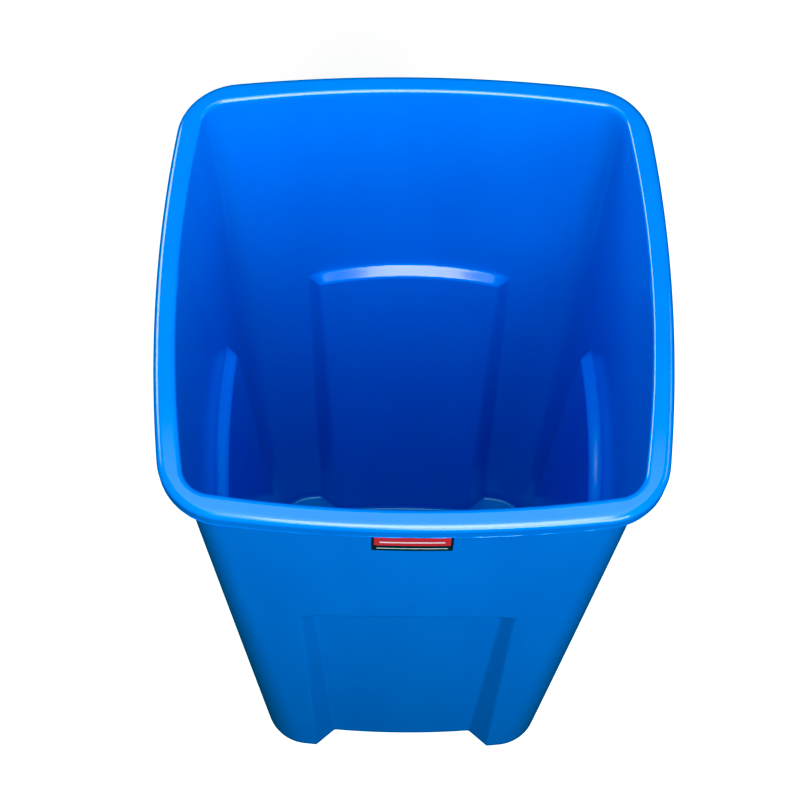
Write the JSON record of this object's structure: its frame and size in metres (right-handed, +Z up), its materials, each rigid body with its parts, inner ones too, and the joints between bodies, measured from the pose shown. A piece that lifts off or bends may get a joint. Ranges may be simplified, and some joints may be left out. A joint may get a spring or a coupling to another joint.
{
  "type": "square waste container",
  "caption": "Tall open-top square waste container with outward-bowed tapering walls, turned-down rim and recessed panels that leave a foot at each corner.",
  "frame": {"origin": "centre of the footprint, on the ground", "axes": "+Z up; the front wall, which carries the label, faces -Y; +X is to the right seen from the front"},
  "size_m": [0.419, 0.419, 0.785],
  "materials": {
    "body": "semi-gloss moulded polyethylene, saturated blue",
    "label": "satin printed film, red panel over a black strip, without lettering"
  },
  "bodies": {
    "root": {"container": "body", "label": "label"}
  },
  "joints": []
}
